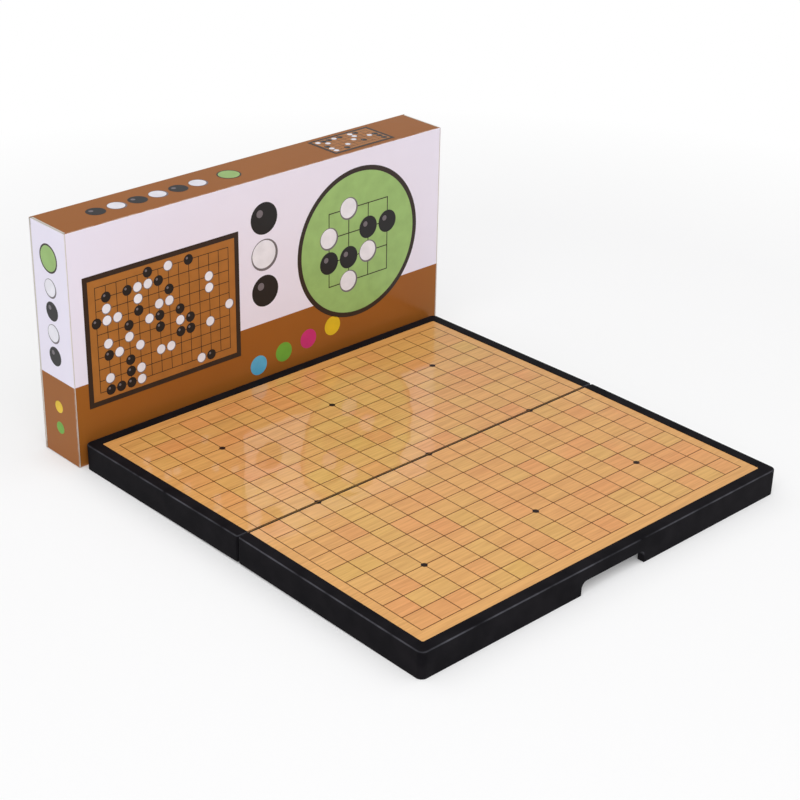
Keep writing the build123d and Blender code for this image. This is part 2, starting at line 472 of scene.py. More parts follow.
@dataclass(frozen=True)
class PrintedCard:
    """Coated card with a white and a brown field, raw on the inside."""

    name: str
    face: CardFace
    low: Vector
    high: Vector
    band_height: float
    white: Rgb = (243, 238, 253)
    white_shade: Rgb = (222, 214, 232)
    brown: Rgb = (162, 98, 38)
    brown_shade: Rgb = (134, 76, 28)
    raw: Rgb = (214, 209, 200)
    raw_shade: Rgb = (188, 180, 168)
    rubbed: Rgb = (236, 230, 226)
    skin: float = 0.0004
    wear_width: float = 0.0011
    wave_scale: float = 11.0
    wave_depth: float = 0.0012
    roughness: float = 0.28
    specular: float = 0.1
    raw_roughness: float = 0.7
    raw_scale: float = 420.0
    raw_depth: float = 0.00003
    cloud_scale: float = 14.0
    brown_cloud: float = 0.35
    white_cloud: float = 0.3
    rub_scale: float = 130.0
    rub_range: Point2 = (-0.5, 1.1)
    coat_weight: float = 0.1
    coat_roughness: float = 0.1

    def make(self) -> bpy.types.Material:
        """Build the material.

        Returns:
            The new material.
        """
        shader = Shader(self.name, self.roughness)
        x, y, z = shader.axes()
        cloud = shader.noise(shader.place(), self.cloud_scale, 3.0)
        raw_fibre = shader.noise(shader.place(), self.raw_scale, 4.0)
        raw = shader.blend(shader.remap(raw_fibre, 0.0, 0.5), self.raw, self.raw_shade)
        if self.face is CardFace.INSIDE:
            shader.colour(raw)
            shader.feed(shader.surface.inputs["Roughness"], self.raw_roughness)
            shader.bump(raw_fibre, self.raw_depth)
            return shader.material

        brown_part = shader.remap(cloud, 0.0, self.brown_cloud)
        brown = shader.blend(brown_part, self.brown, self.brown_shade)
        white_part = shader.remap(cloud, 0.0, self.white_cloud)
        white = shader.blend(white_part, self.white, self.white_shade)
        upper = shader.math("GREATER_THAN", z, self.band_height)
        front = shader.blend(upper, brown, white)
        if self.face is CardFace.SLEEVE:
            top = shader.math("GREATER_THAN", z, self.high.z - self.skin)
            front = shader.blend(top, front, brown)
            outside = shader.math("LESS_THAN", y, self.low.y + self.skin)
            for beyond in (
                shader.math("GREATER_THAN", y, self.high.y - self.skin),
                top,
                shader.math("LESS_THAN", z, self.low.z + self.skin),
            ):
                outside = shader.math("MAXIMUM", outside, beyond)
        else:
            reach = shader.math("ABSOLUTE", x)
            outside = shader.math("GREATER_THAN", reach, self.high.x - self.skin)
        shader.colour(shader.blend(outside, raw, self._wear(shader, front)))
        gloss = shader.remap(outside, self.raw_roughness, self.roughness)
        shader.feed(shader.surface.inputs["Roughness"], gloss)
        shader.surface.inputs["Specular IOR Level"].default_value = self.specular
        shader.coat(self.coat_weight, self.coat_roughness)
        shader.bump(shader.noise(shader.place(), self.wave_scale, 2.0), self.wave_depth, "Coat Normal")
        return shader.material

    def _wear(self, shader: Shader, print_colour: Socket) -> Socket:
        """Rub the print thin along the folds.

        Args:
            shader: Shader of the card.
            print_colour: Colour of the print.

        Returns:
            The colour of the print with its rubbed folds.
        """
        fold_distance: list[Socket] = []
        for axis, value in enumerate(shader.axes()):
            from_low = shader.math("ABSOLUTE", shader.math("SUBTRACT", value, self.low[axis]))
            from_high = shader.math("ABSOLUTE", shader.math("SUBTRACT", value, self.high[axis]))
            fold_distance.append(shader.math("MINIMUM", from_low, from_high))
        along_x = shader.math("MAXIMUM", fold_distance[1], fold_distance[2])
        along_y = shader.math("MAXIMUM", fold_distance[0], fold_distance[2])
        along_z = shader.math("MAXIMUM", fold_distance[0], fold_distance[1])
        nearest = shader.math("MINIMUM", along_x, shader.math("MINIMUM", along_y, along_z))
        share = shader.math("SUBTRACT", 1.0, shader.math("DIVIDE", nearest, self.wear_width))
        rub = shader.remap(shader.noise(shader.place(), self.rub_scale, 4.0), *self.rub_range)
        rub = shader.math("MAXIMUM", rub, 0.0)
        amount = shader.math("MULTIPLY", shader.math("MAXIMUM", share, 0.0), rub)
        return shader.blend(amount, print_colour, self.rubbed)


@dataclass(frozen=True)
class Metal:
    """Bare metal with faint streaks."""

    name: str
    colour: Rgb
    roughness: float
    streak: Point3 = (20.0, 900.0, 900.0)
    smoother: float = 0.06
    rougher: float = 0.1

    def make(self) -> bpy.types.Material:
        """Build the material.

        Returns:
            The new material.
        """
        shader = Shader(self.name, self.roughness)
        shader.colour(self.colour)
        shader.surface.inputs["Metallic"].default_value = 1.0
        streaks = shader.noise(shader.place(self.streak), 1.0, 3.0)
        rough = shader.remap(streaks, self.roughness - self.smoother, self.roughness + self.rougher)
        shader.feed(shader.surface.inputs["Roughness"], rough)
        return shader.material


@dataclass(frozen=True)
class ClearFilm:
    """Thin clear plastic of a bag, milky where it is creased, the pale creases partly painted highlights.
    """

    name: str
    roughness: float = 0.12
    flat_cover: float = 0.03
    # Cover of the pale creases, partly milky film and partly painted highlight
    crease_sheen_cover: float = 0.3
    crease_scale: float = 38.0
    crease_sharpness: float = 13.0
    wrinkle: float = 0.0009
    colour: Rgb = (232, 236, 240)
    finer: float = 2.3
    fade_share: float = 0.6
    fade_range: Point2 = (-1.2, 1.8)
    lump_scale: float = 60.0

    def make(self) -> bpy.types.Material:
        """Build the material.

        Returns:
            The new material.
        """
        shader = Shader(self.name, self.roughness)
        shader.colour(self.colour)
        crease_sheen: Socket | None = None
        for scale in (self.crease_scale, self.finer * self.crease_scale):
            folds = shader.node("ShaderNodeTexVoronoi", feature="DISTANCE_TO_EDGE")
            folds.inputs["Scale"].default_value = scale
            shader.feed(folds.inputs["Vector"], shader.place())
            away = shader.math("MULTIPLY", folds.outputs["Distance"], self.crease_sharpness)
            line = shader.math("SUBTRACT", 1.0, shader.math("MINIMUM", away, 1.0))
            patches = shader.noise(shader.place(), self.fade_share * scale, 2.0)
            fade = shader.math("MAXIMUM", shader.remap(patches, *self.fade_range), 0.0)
            line = shader.math("MULTIPLY", line, fade)
            crease_sheen = line if crease_sheen is None else shader.math("MAXIMUM", crease_sheen, line)
        # The creases are painted pale and less clear, partly milky film and partly painted highlight
        cover = shader.remap(crease_sheen, self.flat_cover, self.crease_sheen_cover)
        shader.feed(shader.surface.inputs["Alpha"], cover)
        height = shader.math("ADD", crease_sheen, shader.noise(shader.place(), self.lump_scale, 3.0))
        shader.bump(height, self.wrinkle)
        return shader.material


def add_piece(
    name: str, shape: bmesh.types.BMesh, finishes: list[bpy.types.Material]
) -> bpy.types.Object:
    """Turn a finished shape into an object at the origin.

    Args:
        name: Name of the piece.
        shape: Its shape in the frame's own place. It is freed.
        finishes: Materials, in the order that the faces number them.

    Returns:
        The new object.
    """
    mesh = bpy.data.meshes.new(name)
    shape.normal_update()
    shape.to_mesh(mesh)
    shape.free()
    for finish in finishes:
        mesh.materials.append(finish)
    piece = bpy.data.objects.new(name, mesh)
    bpy.context.scene.collection.objects.link(piece)
    LOG.info("made %s with %d faces", name, len(mesh.polygons))
    return piece


def add_slab(shape: bmesh.types.BMesh, centre: Point2, size: Point2, low: float, high: float) -> list:
    """Add a flat box to a shape.

    Args:
        shape: Shape that gets the box.
        centre: Middle of the box in the plane.
        size: Its two sizes in the plane.
        low: Height of its underside.
        high: Height of its upper side.

    Returns:
        The new vertices.
    """
    middle = Vector((centre[0], centre[1], (low + high) / 2))
    scale = Matrix.Diagonal((size[0], size[1], high - low, 1.0))
    made = bmesh.ops.create_cube(shape, size=1.0, matrix=Matrix.Translation(middle) @ scale)
    return made["verts"]


def add_disc(
    shape: bmesh.types.BMesh, centre: Point2, radius: float, low: float, high: float, segments: int = 32
) -> list:
    """Add a flat round disc to a shape.

    Args:
        shape: Shape that gets the disc.
        centre: Middle of the disc in the plane.
        radius: Its radius.
        low: Height of its underside.
        high: Height of its upper side.
        segments: Number of its sides.

    Returns:
        The new vertices.
    """
    middle = Matrix.Translation(Vector((centre[0], centre[1], (low + high) / 2)))
    made = bmesh.ops.create_cone(
        shape,
        cap_ends=True,
        cap_tris=False,
        segments=segments,
        radius1=radius,
        radius2=radius,
        depth=high - low,
        matrix=middle,
    )
    return made["verts"]


def dress_node(node: str, finish: bpy.types.Material) -> None:
    """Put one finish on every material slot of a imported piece.

    Args:
        node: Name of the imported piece.
        finish: Material that it gets.
    """
    piece = frame["nodes"][node]
    if not piece.data.materials:
        piece.data.materials.append(finish)
    for slot in piece.material_slots:
        slot.material = finish
    LOG.info("dressed %s", node)


@dataclass
class BoardHalf:
    """One half of the board: its tray, sheets and printed grid."""

    side: Side
    body: str
    pitch_x: float = 0.0184
    pitch_y: float = 0.0185
    lines: int = 19
    line_width: float = 0.00075
    seam_line_width: float = 0.0007
    star_radius: float = 0.00245
    star_step: int = 6
    ink_thickness: float = 0.00003
    film_top: float = 0.0208
    film_reach: float = 0.1743
    seam_edge: float = 0.0004

    def placement(self) -> Matrix:
        """Give the matrix from the level half to its place on the table.

        Returns:
            The matrix.
        """
        turn = Matrix.Rotation(math.pi if self.side is Side.FRONT else 0.0, 4, "Z")
        lean = Matrix.Rotation(-half_lean(), 4, "X")
        return Matrix.Translation(Vector(fold_joint()["pos_m"])) @ turn @ lean

    def dress_nodes(self, finishes: dict[str, bpy.types.Material]) -> None:
        """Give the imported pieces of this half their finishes.

        Args:
            finishes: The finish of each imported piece, by its name without the side.
        """
        for piece, finish in finishes.items():
            dress_node(f"{self.side.value}_{piece}", finish)

    def print_grid(self, ink: bpy.types.Material, dark_ink: bpy.types.Material) -> None:
        """Print the lines and star points of this half on its film.

        Args:
            ink: Ink of the lines.
            dark_ink: Ink of the star points, and of the middle line at the fold, drawn dark as painted
                shade of the gap.
        """
        low, high = self.film_top, self.film_top + self.ink_thickness
        reach = (self.lines - 1) // 2
        width = 2 * reach * self.pitch_x + self.line_width
        depth = reach * self.pitch_y + self.line_width / 2 - self.seam_edge
        lines = bmesh.new()
        for row in range(1, reach + 1):
            add_slab(lines, (0.0, row * self.pitch_y), (width, self.line_width), low, high)
        for column in range(-reach, reach + 1):
            centre = (column * self.pitch_x, self.seam_edge + depth / 2)
            add_slab(lines, centre, (self.line_width, depth), low, high)
        self._lay(lines, f"{self.side.value}_grid_lines", ink)

        marks = bmesh.new()
        high += self.ink_thickness
        # The middle line at the fold, dark and across the whole film: grid line and painted shade of the
        # gap between the films
        middle = (0.0, self.seam_edge + self.seam_line_width / 2)
        add_slab(marks, middle, (2 * self.film_reach, self.seam_line_width), low, high)
        for column in (-self.star_step, 0, self.star_step):
            for row in (0, self.star_step):
                centre = (column * self.pitch_x, row * self.pitch_y)
                add_disc(marks, centre, self.star_radius, low, high)
        every = marks.verts[:] + marks.edges[:] + marks.faces[:]
        fold_edge = Vector((0.0, self.seam_edge, 0.0))
        cut = bmesh.ops.bisect_plane(
            marks,
            geom=every,
            dist=CUT_TOLERANCE,
            plane_co=fold_edge,
            plane_no=(0, -1, 0),
            clear_outer=True,
        )
        rim = [part for part in cut["geom_cut"] if isinstance(part, bmesh.types.BMEdge)]
        bmesh.ops.holes_fill(marks, edges=rim, sides=0)
        self._lay(marks, f"{self.side.value}_star_points_and_seam_shade", dark_ink)

    def _lay(self, shape: bmesh.types.BMesh, name: str, ink: bpy.types.Material) -> None:
        """Lay a printed shape on the film and let it ride with the half.

        Args:
            shape: Shape in the level half, which is freed.
            name: Name of the piece.
            ink: Its ink.
        """
        bmesh.ops.transform(shape, matrix=self.placement(), verts=shape.verts)
        piece = add_piece(name, shape, [ink])
        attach(piece, self.body)


@dataclass
class StoneBag:
    """A clear bag with a heat-sealed edge and a zip, full of magnetic stones."""

    node: str
    body: str
    slot: str
    lean: float
    count: int
    seed: int
    stone_radius: float = 0.0066
    stone_height: float = 0.0033
    stone_gap: float = 0.0001
    side_room: float = 0.0014
    jitter: float = 0.0002
    header_depth: float = 0.011
    film: float = 0.0003
    lumps: float = 0.00015
    sheet_gap: float = 0.00015
    tilt: float = 0.02
    layer_turn: float = 0.05
    side_pull: float = 0.0008
    corner_pull: float = 0.018
    columns: int = 56
    rows: int = 36
    fullness: int = 9
    crown_power: float = 0.28
    corner_power: int = 8
    side_power: int = 5
    stone_sides: int = 12
    stone_rings: int = 6
    magnet_sides: int = 10
    rim_spots: int = 8
    foot_share: float = 0.32
    magnet_share: float = 0.42
    magnet_rise: float = 0.00006
    inner_share: float = 0.4999
    ripple_along: Point3 = (430.0, 2.1, 160.0)
    ripple_across: Point3 = (450.0, 1.7, 150.0)
    zip_bars: tuple[Point3, ...] = (
        (0.0018, 0.0018, 0.014),
        (0.0056, 0.0008, 0.004),
        (0.0078, 0.0008, 0.004),
    )
    middle: Vector = field(init=False)
    length: float = field(init=False)
    width: float = field(init=False)
    thickness: float = field(init=False)

    def __post_init__(self) -> None:
        """Work out the space that the bag fills."""
        low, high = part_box(self.node)
        self.middle = (low + high) / 2
        size = high - low
        self.length = size.x
        self.width = size.y
        self.thickness = size.z - abs(math.sin(self.lean)) * size.y

    def placement(self) -> Matrix:
        """Give the matrix from the level bag to its place in the hollow."""
        return Matrix.Translation(self.middle) @ Matrix.Rotation(self.lean, 4, "X")

    def half_height(self, x: float, y: float) -> float:
        """Give half the thickness of the filled bag over a spot.

        Args:
            x: Distance of the spot from the middle of the bag, along it.
            y: Distance across it.

        Returns:
            Half the thickness, which is 0 past the sealed edge.
        """
        across = (self.width - self.header_depth) / 2
        along = min(1.0, abs(x) / (self.length / 2))
        over = min(1.0, abs(y + self.header_depth / 2) / across)
        crown = max(0.0, (1 - along**self.fullness) * (1 - over**self.fullness))
        return self.thickness / 2 * crown**self.crown_power

    def outline(self, x: float, y: float) -> Point2:
        """Pull the sides of the bag in between its corners, and round the corners.

        Args:
            x: Distance of a spot of the square sheet from the middle, along it.
            y: Distance across it.

        Returns:
            Where the spot comes to lie.
        """
        along, over = 2 * x / self.length, 2 * y / self.width
        corner = 1 - self.corner_pull * (along * over) ** self.corner_power
        slack_x = self.side_pull * (1 - over**2) * abs(along) ** self.side_power
        slack_y = self.side_pull * (1 - along**2) * abs(over) ** self.side_power
        return (x * corner - math.copysign(slack_x, x), y * corner - math.copysign(slack_y, y))

    def ripple(self, x: float, y: float) -> float:
        """Give the small ripple of the film at a spot.

        Args:
            x: Distance of the spot from the middle of the bag, along it.
            y: Distance across it.

        Returns:
            The ripple, from -1 to 1.
        """
        pitch_x, sway_x, turn_x = self.ripple_along
        pitch_y, sway_y, turn_y = self.ripple_across
        along = math.sin(pitch_x * x + sway_x * math.sin(turn_x * y))
        across = math.sin(pitch_y * y + sway_y * math.sin(turn_y * x))
        return along * across

    def pour_stones(self, stone: bpy.types.Material, magnet: bpy.types.Material) -> None:
        """Fill the bag with stones in loose layers, each stone tilted a little.

        Args:
            stone: Finish of the stones.
            magnet: Finish of the magnet in the foot of each stone.
        """
        rng = random.Random(self.seed)
        spots = self._find_spots(rng)
        rng.shuffle(spots)
        pattern = self._make_stone()
        shape = bmesh.new()
        for x, y, z in spots[: self.count]:
            shift = [rng.uniform(-self.jitter, self.jitter) for _ in range(2)]
            place = Matrix.Translation((x + shift[0], y + shift[1], z))
            over = math.pi * rng.randint(0, 1)
            lying = Matrix.Rotation(over + rng.uniform(-self.tilt, self.tilt), 4, "X")
            tilt = Matrix.Rotation(rng.uniform(-self.tilt, self.tilt), 4, "Y")
            turn = place @ tilt @ lying
            pattern.transform(turn)
            shape.from_mesh(pattern)
            pattern.transform(turn.inverted())
        bpy.data.meshes.remove(pattern)
        LOG.info("%s: %d stones in %d places", self.node, min(self.count, len(spots)), len(spots))
        bmesh.ops.transform(shape, matrix=self.placement(), verts=shape.verts)
        self._finish(shape, f"{self.node}_stones", [stone, magnet])

    def _find_spots(self, rng: random.Random) -> list[Point3]:
        """Find the places where a stone fits in the bag, layer by layer.

        Args:
            rng: Source of the small turn and shift of each layer.

        Returns:
            The middle of each place in the level bag.
        """
        step = 2 * self.stone_radius + self.stone_gap
        row_step = step * math.sqrt(3) / 2
        layer_step = self.stone_height + self.stone_gap
        layers = int((self.thickness - 2 * self.film + self.stone_gap) / layer_step)
        rows, columns = int(self.width / row_step), int(self.length / step)
        clear = self.stone_radius + self.side_room
        angles = [2 * math.pi * index / self.rim_spots for index in range(self.rim_spots)]
        around = [(clear * math.cos(angle), clear * math.sin(angle)) for angle in angles]
        spots: list[Point3] = []
        for layer in range(layers):
            z = (layer - (layers - 1) / 2) * layer_step
            turn = Matrix.Rotation(rng.uniform(-self.layer_turn, self.layer_turn), 2)
            shift = Vector((rng.uniform(0, step), rng.uniform(0, row_step)))
            for row in range(-rows, rows + 1):
                for column in range(-columns, columns + 1):
                    x, y = turn @ Vector(((column + 0.5 * (row % 2)) * step, row * row_step)) + shift
                    reach = min(self.half_height(x + beside, y + across) for beside, across in around)
                    if abs(z) + self.stone_height / 2 + self.film <= reach:
                        spots.append((x, y, z))
        return spots

    def _make_stone(self) -> bpy.types.Mesh:
        """Make one domed stone with a flat foot and a magnet let into it.

        Returns:
            The mesh of the stone.
        """
        shape = bmesh.new()
        foot = -self.foot_share * self.stone_height
        dome = self.stone_height / 2 - foot
        scale = Matrix.Diagonal((1.0, 1.0, dome / self.stone_radius, 1.0))
        lift = Matrix.Translation((0.0, 0.0, foot))
        bmesh.ops.create_uvsphere(
            shape,
            u_segments=self.stone_sides,
            v_segments=self.stone_rings,
            radius=self.stone_radius,
            matrix=lift @ scale,
        )
        under = -0.5 * self.stone_height
        every = shape.verts[:] + shape.edges[:] + shape.faces[:]
        cut = bmesh.ops.bisect_plane(
            shape,
            geom=every,
            dist=CUT_TOLERANCE,
            plane_co=(0, 0, under),
            plane_no=(0, 0, -1),
            clear_outer=True,
        )
        for face in shape.faces:
            face.smooth = True
        rim = [part for part in cut["geom_cut"] if isinstance(part, bmesh.types.BMEdge)]
        bmesh.ops.holes_fill(shape, edges=rim, sides=0)
        low, high = under - self.magnet_rise, under + self.magnet_rise
        magnet_radius = self.magnet_share * self.stone_radius
        magnet = add_disc(shape, (0.0, 0.0), magnet_radius, low, high, self.magnet_sides)
        for face in {face for vert in magnet for face in vert.link_faces}:
            face.material_index = 1
        pattern = bpy.data.meshes.new("stone_pattern")
        shape.to_mesh(pattern)
        shape.free()
        return pattern

    def make_wrap(self, clear: bpy.types.Material, seal: bpy.types.Material) -> None:
        """Make the bag round the stones, with its sealed edge and zip.

        Args:
            clear: Finish of the film.
            seal: Finish of the sealed edge and the zip.
        """
        shape = bmesh.new()
        size = (self.length / 2, self.width / 2)
        flat = Matrix.Diagonal((*size, 1.0, 1.0))
        sheets = []
        for side in (1.0, -1.0):
            made = bmesh.ops.create_grid(
                shape, x_segments=self.columns, y_segments=self.rows, size=1.0, matrix=flat
            )
            sheets.append(made["verts"])
            for vert in made["verts"]:
                x, y = vert.co.x, vert.co.y
                height = self.half_height(x, y)
                fill = min(1.0, 2 * height / self.thickness)
                inner = abs(x) < self.inner_share * self.length and abs(y) < self.inner_share * self.width
                least = self.sheet_gap if inner else 0.0
                vert.co.z = side * max(least, height - self.lumps * fill * (1 + self.ripple(x, y)) / 2)
                vert.co.x, vert.co.y = self.outline(x, y)
        under = {face for vert in sheets[1] for face in vert.link_faces}
        bmesh.ops.reverse_faces(shape, faces=list(under))
        bmesh.ops.remove_doubles(shape, verts=shape.verts, dist=MERGE_DISTANCE)
        for face in shape.faces:
            face.smooth = True
        bmesh.ops.transform(shape, matrix=self.placement(), verts=shape.verts)
        wrap = self._finish(shape, f"{self.node}_wrap", [clear])
        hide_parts(self.node)

        zip_shape = bmesh.new()
        edge = self.width / 2 - self.film
        for inset, depth, short in self.zip_bars:
            centre = (0.0, edge - inset - depth / 2)
            add_slab(zip_shape, centre, (self.length - short, depth), -self.film, self.film)
        bmesh.ops.transform(zip_shape, matrix=self.placement(), verts=zip_shape.verts)
        self._finish(zip_shape, f"{self.node}_zip", [seal])

    def _finish(
        self, shape: bmesh.types.BMesh, name: str, finishes: list[bpy.types.Material]
    ) -> bpy.types.Object:
        """Turn a shape into a piece that rides with the half.

        Args:
            shape: Shape of the piece, which is freed.
            name: Name of the piece.
            finishes: Its materials.

        Returns:
            The new object.
        """
        piece = add_piece(name, shape, finishes)
        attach(piece, self.body)
        return piece


@dataclass(frozen=True)
class PrintFace:
    """One flat face of the carton, with its own right and up directions."""

    name: str
    body: str
    origin: Vector
    right: Vector
    up: Vector

    def placement(self) -> Matrix:
        """Give the matrix from the flat face to its place on the carton.

        Returns:
            The matrix.
        """
        out = self.right.cross(self.up)
        turn = Matrix((self.right, self.up, out)).transposed().to_4x4()
        return Matrix.Translation(self.origin) @ turn


class PrintInk(Enum):
    """Inks of the carton's printing, each with its colour."""

    DARK = (50, 36, 28)
    STONE = (30, 27, 28)
    GREEN = (160, 196, 118)
    BOARD = (176, 112, 50)
    PALE = (244, 242, 250)
    GREY = (120, 112, 118)
    YELLOW = (240, 200, 40)
    BLUE = (96, 186, 226)
    PINK = (216, 50, 126)
    LEAF = (116, 178, 62)

    def make(self) -> bpy.types.Material:
        """Build the material of the ink."""
        return Ink(f"{self.name.lower()}_ink", self.value).make()


InkSet = dict[PrintInk, bpy.types.Material]


@dataclass
class Artwork:
    """Flat printing on one face of the carton, laid ink over ink."""

    face: PrintFace
    inks: InkSet
    layer: float = 0.00002
    lift: float = 0.00003
    glint_place: Point2 = (0.32, 0.34)
    glint_share: float = 0.24
    shade_place: float = 0.05
    pale_share: float = 0.88
    border_cells: float = 2.2
    field_cells: float = 1.3
    line_share: float = 0.06
    stone_share: float = 0.45
    stone_sides: int = 32
    glint_sides: int = 16
    large_sides: int = 96
    shape: bmesh.types.BMesh = field(default_factory=bmesh.new)
    used: list[PrintInk] = field(default_factory=list)

    def _paint(self, verts: list, ink: PrintInk) -> None:
        """Give the faces of new vertices an ink.

        Args:
            verts: The new vertices.
            ink: Ink of their faces.
        """
        if ink not in self.used:
            self.used.append(ink)
        number = self.used.index(ink)
        for face in {face for vert in verts for face in vert.link_faces}:
            face.material_index = number

    def _heights(self, level: int) -> Point2:
        """Give the low and high side of an ink level."""
        return self.lift + level * self.layer, self.lift + (level + 1) * self.layer

    def disc(self, centre: Point2, radius: float, ink: PrintInk, level: int, segments: int = 48) -> None:
        """Print a disc.

        Args:
            centre: Its middle on the face.
            radius: Its radius.
            ink: Its ink.
            level: Number of inks that lie under it.
            segments: Number of its sides.
        """
        low, high = self._heights(level)
        self._paint(add_disc(self.shape, centre, radius, low, high, segments), ink)

    def slab(self, centre: Point2, size: Point2, ink: PrintInk, level: int) -> None:
        """Print a rectangle.

        Args:
            centre: Its middle on the face.
            size: Its width and height.
            ink: Its ink.
            level: Number of inks that lie under it.
        """
        low, high = self._heights(level)
        verts = add_slab(self.shape, (0.0, 0.0), size, low, high)
        place = Matrix.Translation((centre[0], centre[1], 0.0))
        bmesh.ops.transform(self.shape, matrix=place, verts=verts)
        self._paint(verts, ink)

    def stone(self, centre: Point2, radius: float, black: bool, level: int) -> None:
        """Print a stone with its shade or its highlight.

        Args:
            centre: Its middle on the face.
            radius: Its radius.
            black: Whether it is a black stone.
            level: Number of inks that lie under it.
        """
        ink = PrintInk.STONE if black else PrintInk.GREY
        self.disc(centre, radius, ink, level, self.stone_sides)
        if black:
            left, up = self.glint_place
            glint = (centre[0] - left * radius, centre[1] + up * radius)
            small = self.glint_share * radius
            self.disc(glint, small, PrintInk.GREY, level + 1, self.glint_sides)
        else:
            away = self.shade_place * radius
            middle = (centre[0] - away, centre[1] + away)
            pale = self.pale_share * radius
            self.disc(middle, pale, PrintInk.PALE, level + 1, self.stone_sides)

    def grid(self, centre: Point2, cells: tuple[int, int], step: float, width: float, level: int) -> None:
        """Print the lines of a grid.

        Args:
            centre: Its middle on the face.
            cells: Number of its cells along and up.
            step: Side of a cell.
            width: Width of a line.
            level: Number of inks that lie under it.
        """
        columns, rows = cells
        for index in range(rows + 1):
            spot = (centre[0], centre[1] + (index - rows / 2) * step)
            self.slab(spot, (columns * step + width, width), PrintInk.DARK, level)
        for index in range(columns + 1):
            spot = (centre[0] + (index - columns / 2) * step, centre[1])
            self.slab(spot, (width, rows * step + width), PrintInk.DARK, level)

    def board(self, centre: Point2, cells: tuple[int, int], step: float, share: float, seed: int) -> None:
        """Print a small board with stones in a pattern of its own.

        Args:
            centre: Middle of the board.
            cells: Number of its cells along and up.
            step: Side of a cell.
            share: Share of the crossings that carry a stone.
            seed: Seed of the pattern of stones.
        """
        columns, rows = cells
        width, height = columns * step, rows * step
        border, field_edge = self.border_cells * step, self.field_cells * step
        self.slab(centre, (width + border, height + border), PrintInk.DARK, 2)
        self.slab(centre, (width + field_edge, height + field_edge), PrintInk.BOARD, 3)
        self.grid(centre, cells, step, self.line_share * step, 4)
        rng = random.Random(seed)
        for column in range(columns + 1):
            for row in range(rows + 1):
                if rng.random() < share:
                    x = centre[0] + (column - columns / 2) * step
                    y = centre[1] + (row - rows / 2) * step
                    self.stone((x, y), step * self.stone_share, rng.random() < 0.5, 5)

    def ringed_disc(self, centre: Point2, radius: float, ring: float, level: int) -> None:
        """Print a green disc in a dark ring.

        Args:
            centre: Its middle on the face.
            radius: Radius of the ring's outside.
            ring: Width of the ring.
            level: Number of inks that lie under it.
        """
        self.disc(centre, radius, PrintInk.DARK, level, self.large_sides)
        self.disc(centre, radius - ring, PrintInk.GREEN, level + 1, self.large_sides)

    def finish(self) -> bpy.types.Object:
        """Lay the printing on its face and let it ride with the carton.

        Returns:
            The new object.
        """
        bmesh.ops.transform(self.shape, matrix=self.face.placement(), verts=self.shape.verts)
        piece = add_piece(self.face.name, self.shape, [self.inks[ink] for ink in self.used])
        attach(piece, self.face.body)
        return piece


@dataclass(frozen=True)
class PanelLayout:
    """Places and sizes of what is printed on a large panel."""

    board_centre: Point2 = (-0.103, 0.1)
    board_cells: tuple[int, int] = (13, 9)
    board_step: float = 0.0096
    board_share: float = 0.34
    board_seed: int = 5
    row_top: Point2 = (-0.004, 0.158)
    row_step: float = 0.031
    row_radius: float = 0.0135
    disc_centre: Point2 = (0.096, 0.112)
    disc_radius: float = 0.066
    disc_ring: float = 0.0042
    play_cells: int = 3
    play_step: float = 0.0215
    play_line: float = 0.0009
    play_radius: float = 0.0098
    dots_start: Point2 = (-0.012, 0.032)
    dots_step: Point2 = (0.0265, 0.004)
    dot_radius: float = 0.0085
    dot_inks: tuple[PrintInk, ...] = (PrintInk.BLUE, PrintInk.LEAF, PrintInk.PINK, PrintInk.YELLOW)
    corner_play: tuple[tuple[int, int, bool], ...] = (
        (0, 1, True),
        (0, 2, False),
        (1, 0, False),
        (1, 1, True),
        (1, 3, False),
        (2, 2, True),
        (2, 1, False),
        (3, 2, True),
    )


@dataclass(frozen=True)
class EndLayout:
    """Heights and sizes of what is printed on an end."""

    disc_height: float = 0.166
    disc_radius: float = 0.0115
    disc_ring: float = 0.0014
    stones: int = 4
    stone_height: float = 0.142
    stone_step: float = 0.0185
    stone_radius: float = 0.0078
    dot_height: float = 0.044
    dot_step: float = 0.018
    dot_radius: float = 0.005
    dot_inks: tuple[PrintInk, ...] = (PrintInk.YELLOW, PrintInk.LEAF)


@dataclass(frozen=True)
class TopLayout:
    """Places and sizes of what is printed on the top."""

    board_centre: Point2 = (0.108, 0.0)
    board_cells: tuple[int, int] = (9, 4)
    board_step: float = 0.0058
    board_share: float = 0.35
    board_seed: int = 8
    disc_centre: Point2 = (-0.02, 0.0)
    disc_radius: float = 0.0098
    disc_ring: float = 0.0012
    stones: int = 6
    stone_start: float = -0.145
    stone_step: float = 0.019
    stone_radius: float = 0.0078


